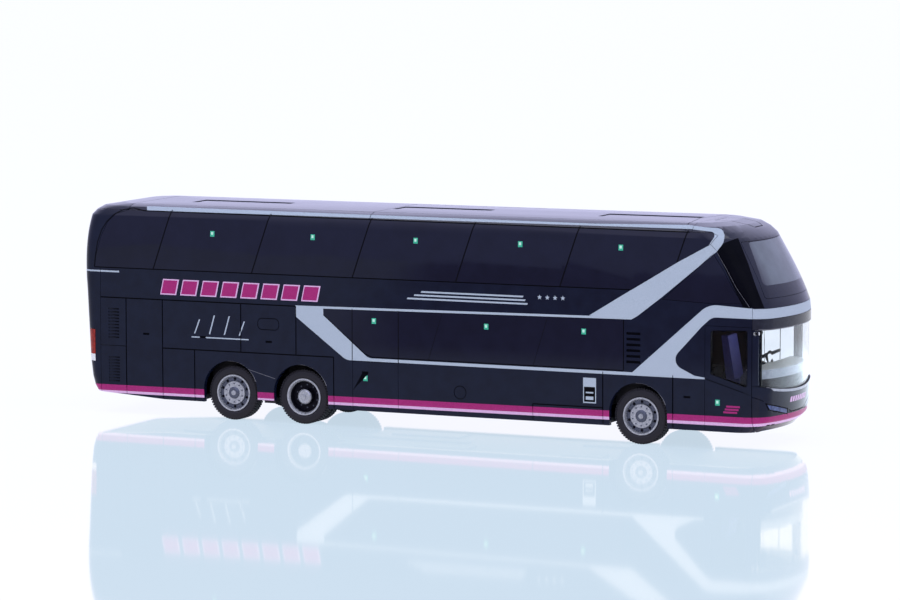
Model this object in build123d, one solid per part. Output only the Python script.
from build123d import *
import os
from collections import namedtuple
from math import atan2, cos, pi, sin, sqrt

# 1:87 scale model of a three-axle double-deck touring coach, in millimetres.
# +X is forward, +Z is up and the kerb side with the doors is -Y.
# The origin is on the floor under the middle of the body.

# Body shell
LENGTH = 160.8
WIDTH = 29.3
HEIGHT = 46.15
ROOF_FALL = 0.5
SKIRT_Z = 3.65
SKIRT_TAIL_RISE = 1.3
SKIRT_RISE_L = 20.0
BOGIE_SKIRT_RISE = 1.1
WAIST_Z = 27.0
WALL = 1.2
PANEL_GAP = 0.08
GROOVE_W = 0.16
GROOVE_DEPTH = 0.2
ROOF_RECESS_DEPTH = 0.12
ROOF_RECESS_HALF_W = 3.4

# Windows
WINDOW_CORNER_R = 0.5
UPPER_SILL_Z = 32.1
UPPER_HEAD_Z = HEIGHT - 1.65
ROOF_JOINT_Z = UPPER_HEAD_Z
LOWER_SILL_Z = 15.2
LOWER_HEAD_Z = 25.1
LOWER_HEAD_RISE = 0.85
SCREEN_SETBACK = 0.35
SCREEN_T = 0.8

# Front end
BROW_TOP_Z = 29.3
BROW_LOW_Z = 27.2
VISOR_LOW_Z = 24.9
MASK_SIDE_Z = 13.4
MASK_MID_Z = 12.0
CAP_BACK = 18.9
FRONT_JOINT_BACK = 5.3
PILLAR_W = 1.3
MIRROR_SOCKET_R = 0.4
MIRROR_SOCKET_DEPTH = 2.0
MIRROR_BOSS_R = 0.6
MIRROR_BOSS_SETBACK = 0.45
MIRROR_BOSS_FLOOR = 0.6

# Doors on the kerb side
FRONT_DOOR_BACK = 15.55
FRONT_DOOR_TOP_Z = 25.5
MID_DOOR_AHEAD_OF_DRIVE = 11.9
MID_DOOR_W = 10.75

# Running gear
FRONT_OVERHANG = 29.9
WHEELBASE = 77.56
TAG_SPACING = 16.83
TYRE_R = 5.85
TYRE_W = 3.4
TYRE_SHOULDER_R = 0.7
TYRE_SHOULDER_CUT = 0.3 * TYRE_SHOULDER_R
TYRE_BEAD = 0.25
TWIN_TYRE_W = 3.1
TWIN_GAP = 0.5
WHEEL_INSET = 0.75
RIM_R = 3.95
RIM_LIP = 0.32
HUB_RECESS = 0.75
HUB_DISC_R = 2.45
HUB_DISC_DEPTH = 0.35
HUB_CONE_R = 1.3
HUB_CONE_TAPER = 0.35
HUB_RECESS_TAPER = 0.3
HUB_DISC_TAPER = 0.2
HUB_CAP_R = 0.55
HUB_CAP_PROUD = 0.15
HUB_CAP_CHAMFER = 0.1
DISH_DEPTH = 1.9
DISH_LIP_DEPTH = 0.5
DISH_TAPER = 0.15
DISH_CONE_STEP = 0.1
VENT_COUNT = 10
VENT_BELOW_RECESS = 0.3
VENT_MARGIN = 0.03
HUB_INNER_STEP = 0.3
PIN_R = 0.75
PIN_SEAT_DEPTH = 1.1
TWIN_PIN_SEAT_DEPTH = 2.4
RUN_CLEARANCE = 0.06
SEAT_CLEARANCE = 0.02
ARCH_R = 6.45
ARCH_SHIFT = 0.35
ARCH_TOP_Z = 12.85

# Chassis and decks
CHASSIS_Z = 4.0
CHASSIS_T = 1.1
CHASSIS_BOX_DROP = 0.3
FIT_GAP = 0.15
WELL_HALF_L = 7.1
WELL_CLEARANCE = 0.7
SADDLE_Y = 4.2
SADDLE_W = 2.4
SADDLE_HALF_L = 1.7
SADDLE_WALL = 0.7
LOWER_FLOOR_Z = 7.7
FLOOR_T = 0.8
REAR_PLATFORM_Z = 13.2
UPPER_FLOOR_Z = 27.3
SEAT_PITCH = 9.6
SEAT_W = 10.2
AISLE_W = 4.4

NOSE = LENGTH / 2
TAIL = -LENGTH / 2
HALF_W = WIDTH / 2
FRONT_AXLE_X = NOSE - FRONT_OVERHANG
DRIVE_AXLE_X = FRONT_AXLE_X - WHEELBASE
TAG_AXLE_X = DRIVE_AXLE_X - TAG_SPACING
WHEEL_FACE_Y = HALF_W - WHEEL_INSET
REACH = LENGTH + WIDTH + HEIGHT

os.makedirs("parts", exist_ok=True)
nodes = {}

# Horizontal rings of the body: straight sides, a bowed front with round corners and a flat tail.
# z, then how far the nose, tail and sides draw in, the three radii, and the roof's share of wall and fall
Ring = namedtuple("Ring", "z nose_in tail_in side_in corner_r bow_r rear_r roof_share")
LOWER_RINGS = [
    Ring(SKIRT_Z, 3.00, 3.40, 0.30, 5.0, 36.0, 2.5, 0.0),
    Ring(SKIRT_Z + 2.35, 0.80, 2.05, 0.10, 5.0, 36.0, 2.5, 0.0),
    Ring(SKIRT_Z + 4.35, 0.40, 1.50, 0.05, 5.0, 36.0, 2.5, 0.0),
    Ring(SKIRT_Z + 8.35, 0.05, 1.05, 0.00, 5.0, 36.0, 2.5, 0.0),
    Ring(WAIST_Z, 0.00, 0.30, 0.00, 5.0, 36.0, 2.5, 0.0),
    Ring(WAIST_Z + 2.3, 0.25, 0.10, 0.05, 5.2, 35.5, 2.5, 0.0),
]
UPPER_RINGS = [
    LOWER_RINGS[-1],
    Ring(WAIST_Z + 6.9, 2.15, 0.00, 0.20, 6.0, 34.0, 2.5, 0.0),
    Ring(WAIST_Z + 11.5, 4.50, 0.20, 0.42, 6.9, 32.0, 2.7, 0.0),
    Ring(HEIGHT - 2.95, 7.10, 1.10, 0.70, 7.8, 30.0, 3.0, 0.0),
]
ROOF_RINGS = [
    UPPER_RINGS[-1],
    Ring(UPPER_HEAD_Z, 8.60, 2.00, 1.10, 7.8, 29.5, 3.5, 0.3),
    Ring(HEIGHT - 0.65, 10.45, 3.20, 1.80, 7.7, 28.5, 4.0, 0.7),
    Ring(HEIGHT, 14.00, 6.40, 3.65, 7.5, 27.0, 5.0, 1.0),
]
LEAST_R = 0.3


def ring_wire(ring, inset, lower=0.0):
    """Closed outline of one body ring, drawn in by inset, its share of it lower, and falling to the tail."""
    z = ring.z - ring.roof_share * inset - lower
    slope = ring.roof_share * ROOF_FALL / LENGTH
    nose = NOSE - ring.nose_in - inset
    tail = TAIL + ring.tail_in + inset
    half_w = HALF_W - ring.side_in - inset
    corner_r = ring.corner_r - inset
    bow_r = ring.bow_r - inset
    rear_r = max(ring.rear_r - inset, LEAST_R)
    bow_x = nose - bow_r
    corner_y = half_w - corner_r
    corner_x = bow_x + sqrt((bow_r - corner_r) ** 2 - corner_y**2)
    bow_end = atan2(corner_y, corner_x - bow_x)
    mid_turn = (bow_end + pi / 2) / 2
    tail_turn = rear_r * (1 - cos(pi / 4))

    def at(x, y):
        return Vector(x, y, z - slope * (nose - x))

    def bow_point(sign):
        return at(bow_x + bow_r * cos(bow_end), sign * bow_r * sin(bow_end))

    def corner_mid(sign):
        return at(corner_x + corner_r * cos(mid_turn), sign * (corner_y + corner_r * sin(mid_turn)))

    def tail_mid(sign):
        return at(tail + tail_turn, sign * (half_w - tail_turn))

    edges = [
        Edge.make_line(at(tail + rear_r, -half_w), at(corner_x, -half_w)),
        Edge.make_three_point_arc(at(corner_x, -half_w), corner_mid(-1), bow_point(-1)),
        Edge.make_three_point_arc(bow_point(-1), at(nose, 0), bow_point(1)),
        Edge.make_three_point_arc(bow_point(1), corner_mid(1), at(corner_x, half_w)),
        Edge.make_line(at(corner_x, half_w), at(tail + rear_r, half_w)),
        Edge.make_three_point_arc(at(tail + rear_r, half_w), tail_mid(1), at(tail, half_w - rear_r)),
        Edge.make_line(at(tail, half_w - rear_r), at(tail, rear_r - half_w)),
        Edge.make_three_point_arc(at(tail, rear_r - half_w), tail_mid(-1), at(tail + rear_r, -half_w)),
    ]
    return Wire(edges)


def hull(inset, below=0.0):
    """Solid of the whole body drawn in by inset, its lowest ring carried down by below."""
    low = [ring_wire(ring, inset) for ring in LOWER_RINGS]
    low[0] = ring_wire(LOWER_RINGS[0], inset, below)
    high = [ring_wire(ring, inset) for ring in UPPER_RINGS]
    roof = [ring_wire(ring, inset) for ring in ROOF_RINGS]
    return Solid.make_loft(low, True).fuse(Solid.make_loft(high), Solid.make_loft(roof, True))


def outline(points, corner_r=0.0, grow=0.0):
    """Face in the XZ plane through points, grown outwards and with its corners rounded."""
    face = Face(Wire.make_polygon([Vector(x, 0, z) for x, z in points], close=True))
    if grow:
        face = offset(face, amount=grow, kind=Kind.INTERSECTION).faces()[0]
    if corner_r:
        face = face.fillet_2d(corner_r, face.vertices())
    return face


def through_side(points, side, corner_r=0.0, grow=0.0):
    """Prism of a side outline, from the middle of the coach out past one side, -1 for the kerb side."""
    return Solid.extrude(outline(points, corner_r, grow), Vector(0, side * REACH, 0))


def through_body(points, grow=0.0):
    """Prism of a side outline right across the coach."""
    face = outline(points, 0.0, grow)
    return Solid.extrude(face.moved(Location((0, -REACH, 0))), Vector(0, 2 * REACH, 0))


def through_end(points, x_from, x_to, corner_r=0.0, grow=0.0):
    """Prism of an outline of y and z points, along the coach from x_from to x_to."""
    face = Face(Wire.make_polygon([Vector(x_from, y, z) for y, z in points], close=True))
    if grow:
        face = offset(face, amount=grow, kind=Kind.INTERSECTION).faces()[0]
    if corner_r:
        face = face.fillet_2d(corner_r, face.vertices())
    return Solid.extrude(face, Vector(x_to - x_from, 0, 0))


def block(x0, x1, y0, y1, z0, z1):
    """Box between two corners."""
    return Solid.make_box(x1 - x0, y1 - y0, z1 - z0, Plane((x0, y0, z0)))


def stroke(a, b):
    """Corners of a groove between two points of a side or end view."""
    run = sqrt((b[0] - a[0]) ** 2 + (b[1] - a[1]) ** 2)
    du = GROOVE_W / 2 * (a[1] - b[1]) / run
    dv = GROOVE_W / 2 * (b[0] - a[0]) / run
    return [(a[0] + du, a[1] + dv), (b[0] + du, b[1] + dv), (b[0] - du, b[1] - dv), (a[0] - du, a[1] - dv)]


def fore(distance):
    """x at a distance behind the nose."""
    return NOSE - distance


def aft(distance):
    """x at a distance ahead of the tail."""
    return TAIL + distance


def solids_of(shape):
    """Its solids as one compound, or the solid itself."""
    found = shape.solids()
    return found[0] if len(found) == 1 else Compound(found)


def common(shape, tool):
    """What two shapes share."""
    return solids_of(shape.intersect(tool))


SHRINK = -PANEL_GAP / 2
UNDER = -SKIRT_Z
outer = hull(0.0)
shell = outer.cut(hull(WALL, below=SKIRT_Z))
skin = outer.cut(hull(GROOVE_DEPTH, below=SKIRT_Z))
cavity = hull(WALL + FIT_GAP, below=SKIRT_Z)
screen_shell = hull(SCREEN_SETBACK).cut(hull(SCREEN_SETBACK + SCREEN_T, below=SKIRT_Z))

# Side outlines of the panels and panes, as x and z points
REAR_JOINT_X = aft(4.5)
CAP_X = fore(CAP_BACK)
FRONT_X = fore(FRONT_JOINT_BACK)
PILLAR_X = FRONT_X + PILLAR_W
REAR_SHOULDER_X = aft(11.0)
REAR_SHOULDER_Z = UPPER_HEAD_Z - 6.2
CAP_EDGE = [
    (CAP_X, ROOF_JOINT_Z),
    (fore(14.64), UPPER_HEAD_Z - 2.4),
    (fore(13.1), UPPER_HEAD_Z - 3.8),
    (fore(10.35), UPPER_HEAD_Z - 7.8),
    (fore(8.44), UPPER_HEAD_Z - 11.1),
    (FRONT_X, BROW_TOP_Z),
]
REAR_EDGE = [
    (REAR_JOINT_X, UNDER),
    (REAR_JOINT_X, REAR_SHOULDER_Z),
    (REAR_SHOULDER_X, REAR_SHOULDER_Z),
    (REAR_SHOULDER_X, ROOF_JOINT_Z),
]
WALL_OUTLINE = REAR_EDGE + CAP_EDGE + [(FRONT_X, UNDER)]
CAP_OUTLINE = [(CAP_X, REACH)] + CAP_EDGE + [(REACH, BROW_TOP_Z), (REACH, REACH)]
UPPER_WINDOW = [
    (aft(3.05), UPPER_SILL_Z - 0.3),
    (fore(31.8), UPPER_SILL_Z),
    (fore(21.56), UPPER_HEAD_Z - 6.2),
    (fore(14.64), UPPER_HEAD_Z - 2.4),
    (fore(13.35), UPPER_HEAD_Z - 0.6),
    (fore(14.6), UPPER_HEAD_Z),
    (REAR_SHOULDER_X, UPPER_HEAD_Z),
    (aft(8.1), UPPER_HEAD_Z - 0.85),
    (aft(6.1), UPPER_HEAD_Z - 2.7),
    (REAR_JOINT_X, UPPER_HEAD_Z - 5.8),
    (aft(3.3), UPPER_SILL_Z + 2.35),
]
QUARTER_WINDOW = [
    (fore(25.0), BROW_TOP_Z + 1.1),
    (fore(14.2), BROW_TOP_Z + 0.7),
    (fore(7.3), BROW_TOP_Z + 0.9),
    (fore(9.6), UPPER_HEAD_Z - 11.1),
    (fore(11.5), UPPER_HEAD_Z - 7.8),
    (fore(14.0), UPPER_HEAD_Z - 4.2),
]
LOWER_WINDOW = [
    (DRIVE_AXLE_X + 5.06, LOWER_HEAD_Z),
    (DRIVE_AXLE_X + 5.06, LOWER_HEAD_Z - 1.4),
    (DRIVE_AXLE_X + 14.76, LOWER_SILL_Z + 0.7),
    (DRIVE_AXLE_X + 16.46, LOWER_SILL_Z),
    (FRONT_AXLE_X - 3.6, LOWER_SILL_Z),
    (FRONT_AXLE_X - 3.6, LOWER_HEAD_Z + LOWER_HEAD_RISE),
]
DOOR_X0 = fore(FRONT_DOOR_BACK)
DOOR_X1 = FRONT_X
FRONT_DOOR = [(DOOR_X0, UNDER), (DOOR_X0, FRONT_DOOR_TOP_Z), (DOOR_X1, FRONT_DOOR_TOP_Z), (DOOR_X1, UNDER)]
DOOR_GLASS = [
    (DOOR_X0 + 1.25, FRONT_DOOR_TOP_Z - 1.0),
    (DOOR_X1 - 0.95, FRONT_DOOR_TOP_Z - 0.7),
    (DOOR_X1 - 0.95, FRONT_DOOR_TOP_Z - 12.5),
    (DOOR_X0 + 1.25, FRONT_DOOR_TOP_Z - 10.0),
]
MID_DOOR_X0 = DRIVE_AXLE_X + MID_DOOR_AHEAD_OF_DRIVE
MID_DOOR_X1 = MID_DOOR_X0 + MID_DOOR_W
MID_DOOR_TOP_Z = LOWER_SILL_Z - 0.9
MID_DOOR = [
    (MID_DOOR_X0, UNDER),
    (MID_DOOR_X0, MID_DOOR_TOP_Z),
    (MID_DOOR_X1, MID_DOOR_TOP_Z),
    (MID_DOOR_X1, UNDER),
]

# Wheel arches: a round head on straight sides, a little behind each axle
ARCH_Z = ARCH_TOP_Z - ARCH_R


def arch(axle_x):
    """Round-headed opening right across the body over one axle."""
    x = axle_x - ARCH_SHIFT
    head = Solid.make_cylinder(ARCH_R, 2 * REACH, Plane((x, REACH, ARCH_Z), z_dir=(0, -1, 0)))
    return head.fuse(block(x - ARCH_R, x + ARCH_R, -REACH, REACH, UNDER, ARCH_Z))


AXLES = {"front": FRONT_AXLE_X, "drive": DRIVE_AXLE_X, "tag": TAG_AXLE_X}
arches = [arch(x) for x in AXLES.values()]


def below_tail_skirt(grow):
    """What is cut away under the skirt where it rises to the tail."""
    tail_z = SKIRT_Z + SKIRT_TAIL_RISE + grow
    foot_x = aft(SKIRT_RISE_L)
    rise = [(-REACH, UNDER), (-REACH, tail_z), (TAIL, tail_z), (foot_x, SKIRT_Z + grow), (foot_x, UNDER)]
    return through_body(rise)


below_bogie_skirt = block(TAG_AXLE_X, DRIVE_AXLE_X, -REACH, REACH, UNDER, SKIRT_Z + BOGIE_SKIRT_RISE)

# Panel joints and louvres engraved in the side walls: vertical lines as x, z from, z to
FLAP_TOP_Z = LOWER_SILL_Z - 0.35
SHELF_Z = LOWER_HEAD_Z + 0.25
UPRIGHT_GROOVES = [
    (aft(10.8), SKIRT_Z, SHELF_Z),
    (aft(19.7), UNDER, SHELF_Z),
    (TAG_AXLE_X - 9.05, UNDER, FLAP_TOP_Z),
    (TAG_AXLE_X + 2.2, FLAP_TOP_Z, SHELF_Z),
    (DRIVE_AXLE_X - 1.45, FLAP_TOP_Z, SHELF_Z),
    (DRIVE_AXLE_X + 7.5, UNDER, FLAP_TOP_Z),
    (FRONT_AXLE_X - 24.0, UNDER, LOWER_SILL_Z - 7.9),
    (FRONT_AXLE_X - 8.2, UNDER, FLAP_TOP_Z),
    (FRONT_AXLE_X + 7.35, UNDER, FLAP_TOP_Z),
]
# Level lines as z, x from, x to
LEVEL_GROOVES = [
    (SHELF_Z, REAR_JOINT_X, DRIVE_AXLE_X - 1.45),
    (FLAP_TOP_Z, REAR_JOINT_X, aft(10.8)),
    (FLAP_TOP_Z, aft(19.7), DRIVE_AXLE_X + 7.5),
    (LOWER_SILL_Z - 7.9, FRONT_AXLE_X - 24.0, FRONT_AXLE_X - 8.2),
]
# Louvre fields: x from, x to, lowest z, highest z, number of slots
LOUVRES = [
    (aft(6.45), aft(9.05), 16.5, 23.4, 10),
    (aft(6.45), aft(9.15), 7.0, 12.8, 9),
    (FRONT_AXLE_X - 2.95, FRONT_AXLE_X + 0.15, 16.9, 24.0, 6),
]
LOUVRE_DUTY = 0.45
# Recessed handles: x and z of the middle
HANDLES = [
    (aft(15.7), 17.75),
    (TAG_AXLE_X - 7.0, 17.7),
    (TAG_AXLE_X + 8.9, 17.4),
    (FRONT_AXLE_X + 10.5, 10.5),
]
HANDLE_W = 1.5
HANDLE_H = 0.45
# Filler flap and round cap, drawn as engraved lines
FLAP_R = 1.1
FLAP_X0 = TAG_AXLE_X + 6.2
FLAP_X1 = TAG_AXLE_X + 11.4
FLAP_Z0 = 19.9
FLAP_Z1 = 22.5
FILLER_FLAP = [(FLAP_X0, FLAP_Z0), (FLAP_X1, FLAP_Z0), (FLAP_X1, FLAP_Z1), (FLAP_X0, FLAP_Z1)]
ROUND_CAP_X = FRONT_AXLE_X - 40.6
ROUND_CAP_Z = 8.8
ROUND_CAP_R = 1.45


def ring_lines(side):
    """Engraved lines round the filler flap and the round cap."""
    flap = through_side(FILLER_FLAP, side, FLAP_R)
    flap = flap.cut(through_side(FILLER_FLAP, side, FLAP_R - GROOVE_W, -GROOVE_W))
    cap_at = Plane((ROUND_CAP_X, 0, ROUND_CAP_Z), z_dir=(0, side, 0))
    cap = Solid.make_cylinder(ROUND_CAP_R, REACH, cap_at)
    return Compound([flap, cap.cut(Solid.make_cylinder(ROUND_CAP_R - GROOVE_W, REACH, cap_at))])


def engraving(side):
    """Bars that reach from the middle out past one side, where the skin is cut."""
    y0, y1 = sorted((0, side * REACH))
    half = GROOVE_W / 2
    uprights = [block(x - half, x + half, y0, y1, z0, z1) for x, z0, z1 in UPRIGHT_GROOVES]
    levels = [block(x0, x1, y0, y1, z - half, z + half) for z, x0, x1 in LEVEL_GROOVES]
    for x0, x1, z0, z1, count in LOUVRES:
        pitch = (z1 - z0) / count
        for i in range(count):
            low = z0 + i * pitch
            levels.append(block(x0, x1, y0, y1, low, low + pitch * LOUVRE_DUTY))
    for x, z in HANDLES:
        levels.append(block(x - HANDLE_W / 2, x + HANDLE_W / 2, y0, y1, z - HANDLE_H / 2, z + HANDLE_H / 2))
    return [Compound(uprights), Compound(levels), ring_lines(side)]


def mirror_socket(side):
    """Boss and bore that take the peg of an outside mirror, at the head of the front pillar."""
    x = FRONT_X + PILLAR_W / 2
    z = VISOR_LOW_Z - PANEL_GAP - MIRROR_BOSS_R
    y_face = side * (HALF_W - MIRROR_BOSS_SETBACK)
    inwards = Plane((x, y_face, z), z_dir=(0, -side, 0))
    boss = Solid.make_cylinder(MIRROR_BOSS_R, MIRROR_SOCKET_DEPTH + MIRROR_BOSS_FLOOR, inwards)
    bore_from = Plane((x, side * HALF_W, z), z_dir=(0, -side, 0))
    bore = Solid.make_cylinder(MIRROR_SOCKET_R, MIRROR_SOCKET_DEPTH + MIRROR_BOSS_SETBACK, bore_from)
    return boss, bore


# Side walls and side glazing
for side, name in ((-1, "right"), (1, "left")):
    wall = common(shell, through_side(WALL_OUTLINE, side, grow=SHRINK))
    cuts = [through_side(UPPER_WINDOW, side), through_side(LOWER_WINDOW, side)]
    cuts.append(through_side(QUARTER_WINDOW, side))
    cuts += arches + [below_tail_skirt(0.0), below_bogie_skirt]
    if side < 0:
        cuts += [through_side(FRONT_DOOR, side), through_side(MID_DOOR, side)]
    else:
        cuts.append(through_side(DOOR_GLASS, side, WINDOW_CORNER_R))
    wall = wall.cut(*cuts)
    wall = wall.cut(*[common(skin, bars) for bars in engraving(side)])
    nodes["side_wall_" + name] = wall
    for pane, points in (
        ("upper_glazing_", UPPER_WINDOW),
        ("lower_glazing_", LOWER_WINDOW),
        ("quarter_glass_", QUARTER_WINDOW),
    ):
        nodes[pane + name] = common(shell, through_side(points, side, grow=-PANEL_GAP))

# Front pillars between the side walls and the lower screen, with a socket for a mirror at the head
PILLAR = [
    (FRONT_X, MASK_SIDE_Z),
    (FRONT_X, VISOR_LOW_Z),
    (PILLAR_X, VISOR_LOW_Z),
    (PILLAR_X, MASK_SIDE_Z),
]
pillars = []
for side in (-1, 1):
    boss, bore = mirror_socket(side)
    pillars.append(common(shell, through_side(PILLAR, side, grow=SHRINK)).fuse(boss).cut(bore))
nodes["front_pillars"] = Compound(pillars)

# Doors and the clear panes beside the driver
SASH_LINE = [(DOOR_X0, LOWER_SILL_Z - 0.65), (DOOR_X1, LOWER_SILL_Z - 3.7)]
LATCH_X = MID_DOOR_X0 + 3.0
LATCH_Z = MID_DOOR_TOP_Z - 2.15
latch = block(LATCH_X - HANDLE_W / 2, LATCH_X + HANDLE_W / 2, -REACH, 0, LATCH_Z - HANDLE_H, LATCH_Z)
door_hole = through_side(DOOR_GLASS, -1, WINDOW_CORNER_R)
door_line = common(skin, through_side(stroke(*SASH_LINE), -1))
nodes["front_door"] = common(shell, through_side(FRONT_DOOR, -1, grow=-PANEL_GAP)).cut(door_hole, door_line)
nodes["mid_door"] = common(shell, through_side(MID_DOOR, -1, grow=-PANEL_GAP)).cut(common(skin, latch))
nodes["front_door_glass"] = common(shell, through_side(DOOR_GLASS, -1, WINDOW_CORNER_R, -PANEL_GAP))
nodes["driver_window"] = common(shell, through_side(DOOR_GLASS, 1, WINDOW_CORNER_R, -PANEL_GAP))

# Rear wall with its window, lamps, louvres and a blank plate recess
REAR_WINDOW = [(-10.6, 34.0), (10.6, 34.0), (9.6, UPPER_HEAD_Z - 1.6), (-9.6, UPPER_HEAD_Z - 1.6)]
REAR_LAMP_Z0 = 11.2
REAR_LAMP_Z1 = 18.3
REAR_LAMP_IN = 2.9
REAR_LAMP_X = aft(3.2)
REAR_LOUVRE_HALF_W = 8.0
REAR_LOUVRE_Z0 = 17.0
REAR_LOUVRE_PITCH = 0.8
REAR_LOUVRE_COUNT = 8
PLATE_HALF_W = 3.0
PLATE_Z0 = 9.4
PLATE_Z1 = 10.8
HATCH_HALF_W = 9.6
HATCH_Z0 = 7.2
HATCH_Z1 = SHELF_Z
REAR_OUTLINE = REAR_EDGE + [(-REACH, ROOF_JOINT_Z), (-REACH, UNDER)]


def rear_lamp(side, grow=0.0):
    """Block that takes the tail lamp out of one rear corner."""
    y0, y1 = sorted((side * (HALF_W - REAR_LAMP_IN - grow), side * REACH))
    return block(-REACH, REAR_LAMP_X + grow, y0, y1, REAR_LAMP_Z0 - grow, REAR_LAMP_Z1 + grow)


def grow_window(points, grow):
    """Prism of the rear window from behind the tail to the cavity."""
    return through_end(points, TAIL - WIDTH, REAR_JOINT_X, WINDOW_CORNER_R, grow)


rear = common(shell, through_body(REAR_OUTLINE, SHRINK))
rear = rear.cut(grow_window(REAR_WINDOW, 0.0), rear_lamp(-1), rear_lamp(1))
rear = rear.cut(through_side(UPPER_WINDOW, -1), through_side(UPPER_WINDOW, 1), below_tail_skirt(0.0))
rear_bars = [block(-REACH, REAR_JOINT_X, -PLATE_HALF_W, PLATE_HALF_W, PLATE_Z0, PLATE_Z1)]
for i in range(REAR_LOUVRE_COUNT):
    low = REAR_LOUVRE_Z0 + i * REAR_LOUVRE_PITCH
    high = low + REAR_LOUVRE_PITCH * LOUVRE_DUTY
    rear_bars.append(block(-REACH, REAR_JOINT_X, -REAR_LOUVRE_HALF_W, REAR_LOUVRE_HALF_W, low, high))
hatch = [(-HATCH_HALF_W, HATCH_Z0), (HATCH_HALF_W, HATCH_Z0)]
hatch += [(HATCH_HALF_W, HATCH_Z1), (-HATCH_HALF_W, HATCH_Z1)]
hatch_line = through_end(hatch, TAIL - WIDTH, REAR_JOINT_X, WINDOW_CORNER_R)
hatch_line = hatch_line.cut(through_end(hatch, TAIL - WIDTH, REAR_JOINT_X, WINDOW_CORNER_R, -GROOVE_W))
nodes["rear_wall"] = rear.cut(common(skin, Compound(rear_bars)), common(skin, hatch_line))
nodes["rear_window"] = common(shell, grow_window(REAR_WINDOW, -PANEL_GAP))
nodes["tail_lamps"] = Compound([common(shell, rear_lamp(side, -PANEL_GAP)) for side in (-1, 1)])

# Roof between the rear end and the front cap, with three sunken panels and two seams across it
ROOF_OUTLINE = [(-REACH, ROOF_JOINT_Z), (-REACH, REACH), (CAP_X, REACH), (CAP_X, ROOF_JOINT_Z)]
ROOF_RECESSES = [(aft(21.2), aft(43.0)), (aft(69.4), aft(90.5)), (fore(44.0), fore(22.6))]
ROOF_SEAMS = [REAR_SHOULDER_X, aft(68.8)]
recesses = []
for x0, x1 in ROOF_RECESSES:
    recesses.append(block(x0, x1, -ROOF_RECESS_HALF_W, ROOF_RECESS_HALF_W, ROOF_JOINT_Z, REACH))
seams = []
for x in ROOF_SEAMS:
    seams.append(block(x - GROOVE_W / 2, x + GROOVE_W / 2, -REACH, REACH, ROOF_JOINT_Z, REACH))
roof = common(shell, through_body(ROOF_OUTLINE, SHRINK))
roof_skin = outer.cut(hull(ROOF_RECESS_DEPTH, below=SKIRT_Z))
nodes["roof_panel"] = roof.cut(common(roof_skin, Compound(recesses)), common(skin, Compound(seams)))

# Front: cap round the upper screen, brow, visor, lower screen and mask
UPPER_SCREEN_BACK_X = fore(16.0)
UPPER_SCREEN_FOOT = 12.2
UPPER_SCREEN_HEAD = 11.05
UPPER_SCREEN = [
    (-UPPER_SCREEN_FOOT, BROW_TOP_Z + 1.9),
    (UPPER_SCREEN_FOOT, BROW_TOP_Z + 1.9),
    (UPPER_SCREEN_HEAD, UPPER_HEAD_Z - 1.9),
    (-UPPER_SCREEN_HEAD, UPPER_HEAD_Z - 1.9),
]
cap = common(shell, through_body(CAP_OUTLINE, SHRINK))
upper_screen_hole = through_end(UPPER_SCREEN, UPPER_SCREEN_BACK_X, NOSE + WIDTH, WINDOW_CORNER_R)
cap = cap.cut(upper_screen_hole)
for side in (-1, 1):
    cap = cap.cut(through_side(UPPER_WINDOW, side), through_side(QUARTER_WINDOW, side))
nodes["front_cap"] = solids_of(cap)
upper_screen_pane = through_end(UPPER_SCREEN, UPPER_SCREEN_BACK_X, NOSE + WIDTH, WINDOW_CORNER_R, -PANEL_GAP)
nodes["upper_windscreen"] = common(shell, upper_screen_pane)


def front_band(z0, z1, x):
    """Band of the shell round the front between two heights."""
    half = PANEL_GAP / 2
    return common(shell, block(x + half, REACH, -REACH, REACH, z0 + half, z1 - half))


nodes["brow_band"] = front_band(BROW_LOW_Z, BROW_TOP_Z, FRONT_X)
nodes["visor_band"] = front_band(VISOR_LOW_Z, BROW_LOW_Z, FRONT_X)


def below_mask_edge(grow):
    """Prism along the front under the mask's upper edge, which sags to the middle."""
    side_z = MASK_SIDE_Z + grow
    mid_z = MASK_MID_Z + grow
    near = Vector(FRONT_X, -HALF_W, side_z)
    far = Vector(FRONT_X, HALF_W, side_z)
    top = Edge.make_three_point_arc(near, Vector(FRONT_X, 0, mid_z), far)
    down = [far, Vector(FRONT_X, HALF_W, UNDER), Vector(FRONT_X, -HALF_W, UNDER), near]
    sides = [Edge.make_line(a, b) for a, b in zip(down, down[1:])]
    return Solid.extrude(Face(Wire([top] + sides)), Vector(WIDTH, 0, 0))


# Headlamp outline on the kerb side as y and z points
HEADLAMP = [(-12.9, 9.9), (-5.2, 8.1), (-5.0, 6.8), (-12.0, 8.2)]
# Engraved lines on the mask from y and z to y and z: one on each corner above the lamp, one between the lamps
LAMP_LINE = ((-HALF_W - 1.0, 12.0), (-13.15, 10.25))
BUMPER_LINE = ((-4.6, 7.2), (4.6, 7.2))
mask_zone = block(FRONT_X + PANEL_GAP / 2, REACH, -REACH, REACH, UNDER, REACH)
mask = common(common(shell, below_mask_edge(0.0)), mask_zone)
lamps = []
for side in (-1, 1):
    points = [(-side * y, z) for y, z in HEADLAMP]
    mask = mask.cut(through_end(points, FRONT_X, NOSE + WIDTH))
    lens = through_end(points, FRONT_X, NOSE + WIDTH, 0.0, -PANEL_GAP)
    lamps.append(common(shell, lens))
    line = [(-side * y, z) for y, z in LAMP_LINE]
    mask = mask.cut(common(skin, through_end(stroke(*line), FRONT_X, NOSE + WIDTH)))
nodes["front_mask"] = mask.cut(common(skin, through_end(stroke(*BUMPER_LINE), FRONT_X, NOSE + WIDTH)))
nodes["headlamps"] = Compound(lamps)
screen_zone = block(PILLAR_X + PANEL_GAP, REACH, -REACH, REACH, UNDER, VISOR_LOW_Z - PANEL_GAP)
screen = common(screen_shell, screen_zone)
nodes["lower_windscreen"] = screen.cut(below_mask_edge(PANEL_GAP))

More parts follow.
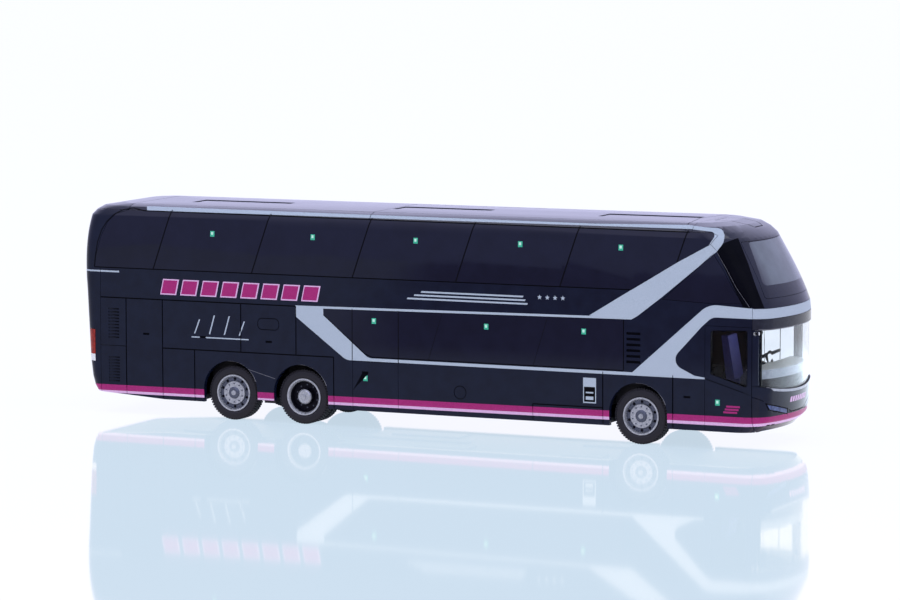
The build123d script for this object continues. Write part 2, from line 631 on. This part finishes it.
# Chassis plate with wheel wells and the saddles that carry the axle pins
SINGLE_INNER_Y = WHEEL_FACE_Y - TYRE_W
TWIN_INNER_Y = WHEEL_FACE_Y - 2 * TWIN_TYRE_W - TWIN_GAP
WELL_Y = {
    "front": SINGLE_INNER_Y - WELL_CLEARANCE,
    "drive": TWIN_INNER_Y - WELL_CLEARANCE,
    "tag": SINGLE_INNER_Y - WELL_CLEARANCE,
}
SADDLE_TOP_Z = TYRE_R + PIN_R + SADDLE_WALL
chassis = common(cavity, block(-REACH, REACH, -REACH, REACH, CHASSIS_Z, CHASSIS_Z + CHASSIS_T))
# Tanks and boxes moulded in low relief under the plate: x from, x to, y from, y to
CHASSIS_BOXES = [
    (MID_DOOR_X1 + 2.0, MID_DOOR_X1 + 14.0, -11.0, -5.2),
    (MID_DOOR_X0, MID_DOOR_X0 + 16.0, 5.2, 11.0),
    (FRONT_AXLE_X - 21.0, FRONT_AXLE_X - 10.0, 5.6, 11.0),
    (FRONT_AXLE_X - 19.0, FRONT_AXLE_X - 10.0, -11.0, -6.4),
    (DRIVE_AXLE_X + 3.0, MID_DOOR_X1 + 10.0, -1.1, 1.1),
    (TAG_AXLE_X - 15.0, TAG_AXLE_X - 8.5, -8.5, 8.5),
]
boxes = []
for x0, x1, y0, y1 in CHASSIS_BOXES:
    boxes.append(block(x0, x1, y0, y1, CHASSIS_Z - CHASSIS_BOX_DROP, CHASSIS_Z + CHASSIS_T / 2))
chassis = chassis.fuse(*boxes).cut(below_tail_skirt(FIT_GAP))
for axle, x in AXLES.items():
    for side in (-1, 1):
        y0, y1 = sorted((side * WELL_Y[axle], side * REACH))
        chassis = chassis.cut(block(x - WELL_HALF_L, x + WELL_HALF_L, y0, y1, UNDER, REACH))
    for side in (-1, 1):
        y0, y1 = sorted((side * (SADDLE_Y - SADDLE_W / 2), side * (SADDLE_Y + SADDLE_W / 2)))
        saddle = block(x - SADDLE_HALF_L, x + SADDLE_HALF_L, y0, y1, CHASSIS_Z, SADDLE_TOP_Z)
        chassis = chassis.fuse(saddle)
    slot_half = PIN_R + RUN_CLEARANCE
    slot = Solid.make_cylinder(slot_half, WIDTH, Plane((x, HALF_W, TYRE_R), z_dir=(0, -1, 0)))
    chassis = chassis.cut(slot)
nodes["chassis_plate"] = chassis

# Lower deck: floor, platform over the rear wheels, boxes over the front wheels and seat pairs
SEAT_H = 3.6
SEAT_BACK_H = 9.0
SEAT_DEPTH = 4.6
SEAT_BACK_T = 1.2
SEAT_RAKE = 1.3


def seat_row(x, floor_z):
    """Two seat pairs facing forward, one each side of the aisle."""
    profile = [
        (x, floor_z),
        (x + SEAT_DEPTH, floor_z),
        (x + SEAT_DEPTH, floor_z + SEAT_H),
        (x + SEAT_BACK_T, floor_z + SEAT_H),
        (x + SEAT_BACK_T - SEAT_RAKE, floor_z + SEAT_BACK_H),
        (x - SEAT_RAKE, floor_z + SEAT_BACK_H),
    ]
    face = outline(profile)
    pairs = []
    for y in (-AISLE_W / 2 - SEAT_W, AISLE_W / 2):
        pairs.append(Solid.extrude(face.moved(Location((0, y, 0))), Vector(0, SEAT_W, 0)))
    return pairs


STEP_X = MID_DOOR_X0 - 4.0
LOWER_FRONT_X = fore(8.6)
PLATFORM_BACK_X = aft(6.0)
lower = block(STEP_X, LOWER_FRONT_X, -HALF_W, HALF_W, LOWER_FLOOR_Z, LOWER_FLOOR_Z + FLOOR_T)
for side in (-1, 1):
    x0 = FRONT_AXLE_X - WELL_HALF_L
    x1 = FRONT_AXLE_X + WELL_HALF_L
    y0, y1 = sorted((side * WELL_Y["front"], side * REACH))
    lower = lower.cut(block(x0, x1, y0, y1, UNDER, REACH))
    y0, y1 = sorted((side * (WELL_Y["front"] - FLOOR_T), side * REACH))
    box_top = block(x0 - FLOOR_T, x1 + FLOOR_T, y0, y1, LOWER_FLOOR_Z, REAR_PLATFORM_Z + FLOOR_T)
    y0, y1 = sorted((side * WELL_Y["front"], side * REACH))
    lower = lower.fuse(box_top.cut(block(x0, x1, y0, y1, UNDER, REAR_PLATFORM_Z)))
platform = block(PLATFORM_BACK_X, STEP_X, -HALF_W, HALF_W, REAR_PLATFORM_Z, REAR_PLATFORM_Z + FLOOR_T)
riser = block(STEP_X, STEP_X + FLOOR_T, -HALF_W, HALF_W, LOWER_FLOOR_Z, REAR_PLATFORM_Z + FLOOR_T)
lower = lower.fuse(platform, riser)
LOWER_SEAT_X0 = MID_DOOR_X1 + 3.0
LOWER_SEAT_ROWS = 4
seats = []
for i in range(LOWER_SEAT_ROWS):
    seats += seat_row(LOWER_SEAT_X0 + i * SEAT_PITCH, LOWER_FLOOR_Z + FLOOR_T)
nodes["lower_deck"] = common(lower.fuse(*seats), cavity)

# Upper deck: floor and seat pairs
UPPER_BACK_X = aft(6.0)
UPPER_FRONT_X = fore(10.0)
UPPER_SEAT_X0 = UPPER_BACK_X + 5.0
UPPER_SEAT_ROWS = 14
upper = block(UPPER_BACK_X, UPPER_FRONT_X, -HALF_W, HALF_W, UPPER_FLOOR_Z, UPPER_FLOOR_Z + FLOOR_T)
seats = []
for i in range(UPPER_SEAT_ROWS):
    seats += seat_row(UPPER_SEAT_X0 + i * SEAT_PITCH, UPPER_FLOOR_Z + FLOOR_T)
nodes["upper_deck"] = common(upper.fuse(*seats), cavity)

# Driver's place: dashboard across the front, steering wheel on its column, seat on the floor
DRIVER_Y = 7.4
DASH_BACK_X = fore(8.2)
DASH_TOP_Z = 16.6
DASH_LOW_Z = LOWER_FLOOR_Z + FLOOR_T
dash_profile = [
    (DASH_BACK_X, DASH_LOW_Z),
    (DASH_BACK_X, DASH_TOP_Z - 1.6),
    (DASH_BACK_X + 1.2, DASH_TOP_Z),
    (REACH, DASH_TOP_Z - 0.6),
    (REACH, DASH_LOW_Z),
]
nodes["dashboard"] = common(cavity, through_body(dash_profile))
STEERING_R = 2.5
STEERING_RIM_R = 0.28
STEERING_TILT = 25
SPOKE_W = 0.7
SPOKE_T = 0.4
COLUMN_R = 0.45
STEERING_X = DASH_BACK_X - 1.6
STEERING_Z = DASH_TOP_Z + 0.8
tilt = STEERING_TILT * pi / 180
column_l = (DASH_BACK_X - FIT_GAP - STEERING_X - COLUMN_R * cos(tilt)) / sin(tilt)
rim = Solid.make_torus(STEERING_R, STEERING_RIM_R)
spoke = block(-SPOKE_W / 2, SPOKE_W / 2, -STEERING_R, STEERING_R, -SPOKE_T / 2, SPOKE_T / 2)
column = Solid.make_cylinder(COLUMN_R, column_l, Plane((0, 0, -column_l)))
steering = rim.fuse(spoke, column)
nodes["steering_wheel"] = steering.moved(Location((STEERING_X, DRIVER_Y, STEERING_Z), (0, -STEERING_TILT, 0)))
# The seat's profile as x and z from the back of its foot
DRIVER_SEAT_X = fore(17.6)
DRIVER_SEAT_W = 5.4
DRIVER_SEAT = [(0.0, 0.0), (4.8, 0.0), (5.2, 4.2), (1.4, 3.8), (-0.2, 12.8), (-1.6, 12.8)]
driver_profile = [(DRIVER_SEAT_X + x, LOWER_FLOOR_Z + FLOOR_T + z) for x, z in DRIVER_SEAT]
seat_face = outline(driver_profile).moved(Location((0, DRIVER_Y - DRIVER_SEAT_W / 2, 0)))
nodes["driver_seat"] = Solid.extrude(seat_face, Vector(0, DRIVER_SEAT_W, 0))

# Wheels: hubs and tyres on steel pins.
# Profiles are turned about the axle, as depth from the wheel's face and radius.
HUB_W = TYRE_W - HUB_INNER_STEP
RECESS_OUTER_R = RIM_R - RIM_LIP - HUB_RECESS_TAPER
RECESS_INNER_R = HUB_DISC_R + HUB_DISC_TAPER
FLAT_HUB = [
    (0.0, RIM_R),
    (0.0, RIM_R - RIM_LIP),
    (HUB_RECESS, RECESS_OUTER_R),
    (HUB_RECESS, RECESS_INNER_R),
    (HUB_DISC_DEPTH, HUB_DISC_R),
    (HUB_DISC_DEPTH, HUB_CONE_R),
    (0.0, HUB_CONE_R - HUB_CONE_TAPER),
    (0.0, HUB_CAP_R),
    (-HUB_CAP_PROUD, HUB_CAP_R - HUB_CAP_CHAMFER),
    (-HUB_CAP_PROUD, 0.0),
]
DISH_HUB = [
    (0.0, RIM_R),
    (0.0, RIM_R - RIM_LIP),
    (DISH_LIP_DEPTH, RECESS_OUTER_R),
    (DISH_DEPTH, RECESS_OUTER_R - DISH_TAPER),
    (DISH_DEPTH, HUB_CONE_R + HUB_CONE_TAPER + DISH_TAPER),
    (DISH_LIP_DEPTH, HUB_CONE_R + HUB_CONE_TAPER),
    (DISH_CONE_STEP, HUB_CONE_R),
    (DISH_CONE_STEP, HUB_CAP_R),
    (-HUB_CAP_PROUD, HUB_CAP_R - HUB_CAP_CHAMFER),
    (-HUB_CAP_PROUD, 0.0),
]
VENT_CIRCLE_R = (RECESS_OUTER_R + RECESS_INNER_R) / 2
VENT_R = (RECESS_OUTER_R - RECESS_INNER_R) / 2 - VENT_MARGIN
VENT_DEPTH = HUB_RECESS + VENT_BELOW_RECESS


def turned(profile, axle_x, side):
    """Solid of a profile turned about an axle, its face towards one side."""
    points = [Vector(axle_x, side * (WHEEL_FACE_Y - depth), TYRE_R + radius) for depth, radius in profile]
    face = Face(Wire.make_polygon(points, close=True))
    return Solid.revolve(face, 360, Axis((axle_x, 0, TYRE_R), (0, 1, 0)))


def hub(profile, width, axle_x, side, seat_depth):
    """Wheel hub with a blind seat for the pin from its back."""
    back = [(width, 0.0), (width, RIM_R)]
    solid = turned(profile + back, axle_x, side)
    seat_r = PIN_R + SEAT_CLEARANCE
    mouth = Plane((axle_x, side * (WHEEL_FACE_Y - width), TYRE_R), z_dir=(0, side, 0))
    return solid.cut(Solid.make_cylinder(seat_r, width - seat_depth, mouth))


def tyre(axle_x, side, depth, width):
    """Ring of the tyre, its outer edge rounded at the shoulders."""
    bore_r = RIM_R + SEAT_CLEARANCE
    s = TYRE_SHOULDER_R
    cut = TYRE_SHOULDER_CUT
    far = depth + width
    profile = [
        (depth + TYRE_BEAD, bore_r),
        (depth, bore_r + TYRE_BEAD),
        (depth, TYRE_R - s),
        (depth + cut, TYRE_R - cut),
        (depth + s, TYRE_R),
        (far - s, TYRE_R),
        (far - cut, TYRE_R - cut),
        (far, TYRE_R - s),
        (far, bore_r + TYRE_BEAD),
        (far - TYRE_BEAD, bore_r),
    ]
    return turned(profile, axle_x, side)


for axle, x in AXLES.items():
    twin = axle == "drive"
    profile = DISH_HUB if twin else FLAT_HUB
    width = 2 * TWIN_TYRE_W + TWIN_GAP - HUB_INNER_STEP if twin else HUB_W
    seat_depth = TWIN_PIN_SEAT_DEPTH if twin else PIN_SEAT_DEPTH
    for side, name in ((-1, "right"), (1, "left")):
        wheel_hub = hub(profile, width, x, side, seat_depth)
        if not twin:
            for i in range(VENT_COUNT):
                turn = 2 * pi * i / VENT_COUNT
                vent_x = x + VENT_CIRCLE_R * sin(turn)
                vent_z = TYRE_R + VENT_CIRCLE_R * cos(turn)
                vent_at = Plane((vent_x, side * WHEEL_FACE_Y, vent_z), z_dir=(0, -side, 0))
                vent = Solid.make_cylinder(VENT_R, VENT_DEPTH, vent_at)
                wheel_hub = wheel_hub.cut(vent)
        nodes[f"{axle}_{name}_hub"] = wheel_hub
        if twin:
            tyres = [tyre(x, side, d, TWIN_TYRE_W) for d in (0.0, TWIN_TYRE_W + TWIN_GAP)]
            nodes[f"{axle}_{name}_tyres"] = Compound(tyres)
        else:
            nodes[f"{axle}_{name}_tyre"] = tyre(x, side, 0.0, TYRE_W)
    pin_half = WHEEL_FACE_Y - seat_depth - SEAT_CLEARANCE
    pin_from = Plane((x, pin_half, TYRE_R), z_dir=(0, -1, 0))
    nodes[f"{axle}_axle_pin"] = Solid.make_cylinder(PIN_R, 2 * pin_half, pin_from)

for name, shape in nodes.items():
    export_step(solids_of(shape), f"parts/{name}.step")
